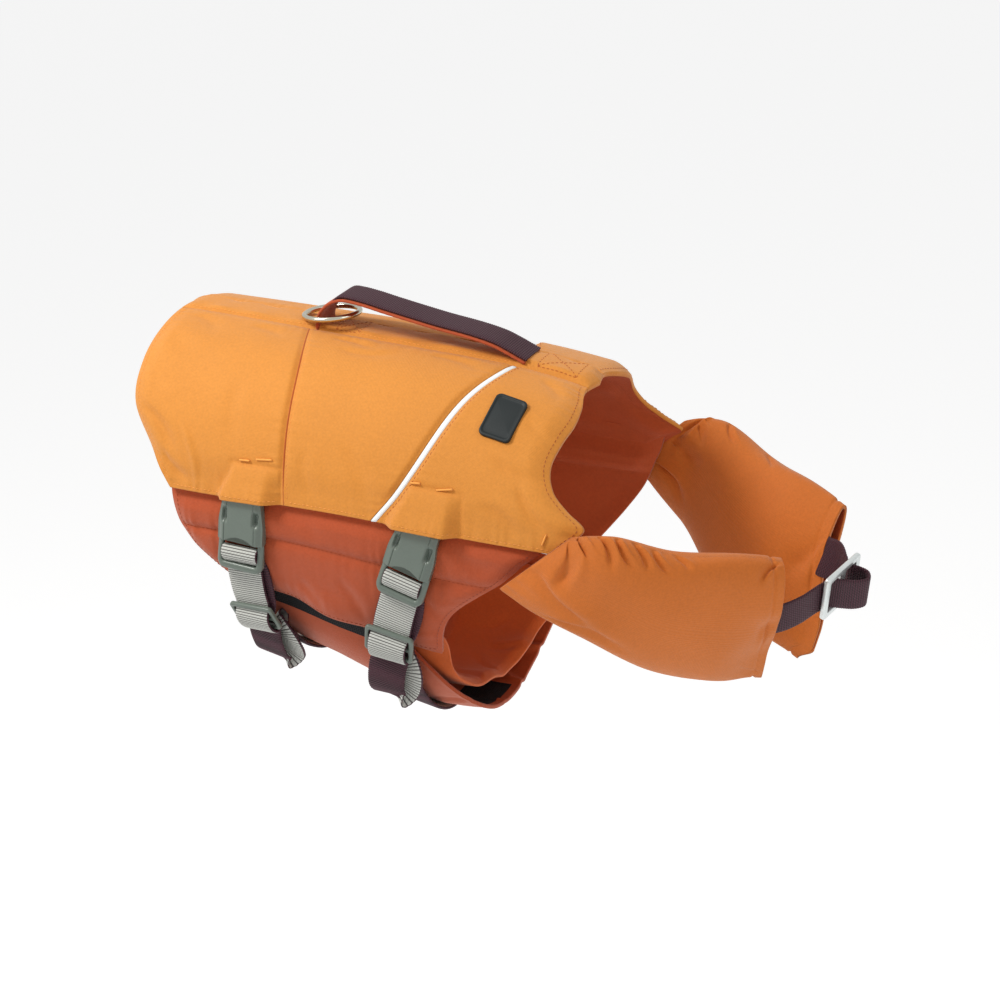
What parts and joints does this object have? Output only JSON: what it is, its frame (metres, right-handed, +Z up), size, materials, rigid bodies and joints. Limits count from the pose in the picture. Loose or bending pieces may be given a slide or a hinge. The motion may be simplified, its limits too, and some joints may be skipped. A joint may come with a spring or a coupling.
{
  "type": "dog life jacket",
  "caption": "Padded dog life jacket, filled out as if worn: back panels, side flaps, belly panel, neck floats, a top handle with a lead ring, and buckled belly straps.",
  "frame": {"origin": "middle of the back along the spine, on the inner face that rests on the dog", "axes": "+X towards the dog's head, +Y to the dog's left, +Z up; the buckles are on the right side, -Y"},
  "size_m": [0.4554, 0.2239, 0.2657],
  "materials": {
    "orange_fabric": "plain woven polyester, satin sheen, amber orange",
    "rust_fabric": "plain woven polyester, rust red",
    "dark_orange_fabric": "brushed polyester, burnt orange",
    "reflective_tape": "pale grey reflective tape",
    "purple_webbing": "ribbed webbing, dark plum",
    "grey_webbing": "ribbed webbing, light grey with a plum back",
    "grey_plastic": "satin moulded plastic, grey",
    "pale_metal": "satin, pale",
    "ring_metal": "polished, slightly warm",
    "black_rubber": "matt moulded, bare"
  },
  "bodies": {
    "root": {"rear_panel_right": "orange_fabric", "rear_panel_left": "orange_fabric", "middle_panel_right": "orange_fabric", "middle_panel_left": "orange_fabric", "shoulder_panel_right": "orange_fabric", "shoulder_panel_left": "orange_fabric", "piping_right": "reflective_tape", "piping_left": "reflective_tape", "spine_band": "orange_fabric", "side_flap_right": "rust_fabric", "side_flap_left": "rust_fabric", "belly_panel": "rust_fabric", "belly_pad": "dark_orange_fabric", "collar_float_right": "orange_fabric", "collar_float_left": "orange_fabric", "buckle_socket_rear": "grey_plastic", "buckle_socket_front": "grey_plastic", "buckle_latch_rear": "grey_plastic", "buckle_latch_front": "grey_plastic", "strap_slider_rear": "grey_plastic", "strap_slider_front": "grey_plastic", "belly_strap_rear": "grey_webbing", "belly_strap_front": "grey_webbing", "handle_lining": "rust_fabric", "handle_webbing": "purple_webbing", "lead_ring": "ring_metal", "patch": "black_rubber", "collar_slider": "pale_metal", "collar_strap": "purple_webbing"}
  },
  "joints": []
}
